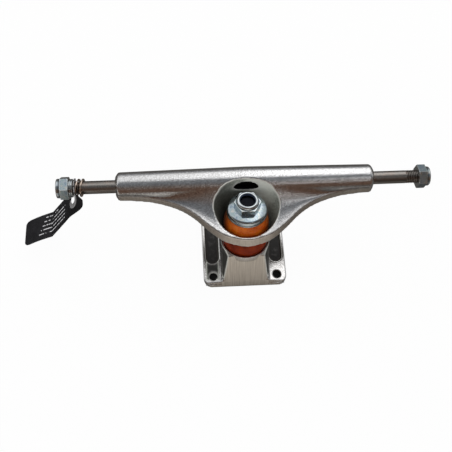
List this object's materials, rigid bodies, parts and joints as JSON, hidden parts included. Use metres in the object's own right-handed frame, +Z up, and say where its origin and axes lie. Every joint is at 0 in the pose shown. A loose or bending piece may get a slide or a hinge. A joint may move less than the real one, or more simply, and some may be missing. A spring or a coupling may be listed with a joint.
{
  "type": "skateboard truck",
  "caption": "Cast metal skateboard truck with a baseplate, a swept hanger on rubber bushings and a kingpin, a steel axle with lock nuts, loose bearing rings and a folded hang tag.",
  "frame": {"origin": "middle of the baseplate's underside, which bolts against the deck", "axes": "+X along the axle, +Z up from the deck's side through the kingpin to the axle, +Y from the kingpin towards the pivot"},
  "size_m": [0.2545, 0.08, 0.0646],
  "materials": {
    "sanded_aluminium": "linished, warm grey",
    "cast_aluminium": "tumbled and polished, bright grey",
    "dark_steel": "plain dark steel",
    "bright_zinc": "clear zinc, bluish",
    "gold_zinc": "yellow zinc",
    "amber_urethane": "smooth orange urethane",
    "black_urethane": "black urethane",
    "dark_nylon": "dark nylon",
    "black_card": "matte black card"
  },
  "bodies": {
    "base": {"baseplate": "sanded_aluminium", "kingpin": "dark_steel", "bottom_washer": "bright_zinc", "bottom_bushing": "amber_urethane", "top_bushing": "amber_urethane", "top_washer": "bright_zinc", "kingpin_nut": "bright_zinc", "kingpin_nut_insert": "dark_nylon", "pivot_cup": "black_urethane"},
    "hanger_group": {"hanger": "cast_aluminium", "axle": "dark_steel", "axle_nut_left": "bright_zinc", "axle_nut_insert_left": "dark_nylon", "axle_nut_right": "bright_zinc", "axle_nut_insert_right": "dark_nylon", "speed_ring_silver_outer": "bright_zinc", "speed_ring_silver_inner": "bright_zinc"},
    "gold_rings": {"speed_ring_gold_outer": "gold_zinc", "speed_ring_gold_inner": "gold_zinc"},
    "tag": {"hang_tag": "black_card"}
  },
  "joints": [
    {"name": "steer", "type": "hinge", "parent": "base", "child": "hanger_group", "pos_m": [0, 0.0246, 0.015], "axis": [0, -0.8674, 0.4977], "range_deg": [-15, 15], "stiffness_Nm_per_rad": 20, "deforming": ["bottom_bushing", "top_bushing"]},
    {"name": "ring_slide", "type": "slide", "parent": "hanger_group", "child": "gold_rings", "axis": [1, 0, 0], "range_m": [0, 0.0185]},
    {"name": "tag_swing", "type": "hinge", "parent": "hanger_group", "child": "tag", "pos_m": [-0.102, 0.0061, 0.055], "axis": [1, 0, 0], "range_deg": [-40, 40]}
  ]
}
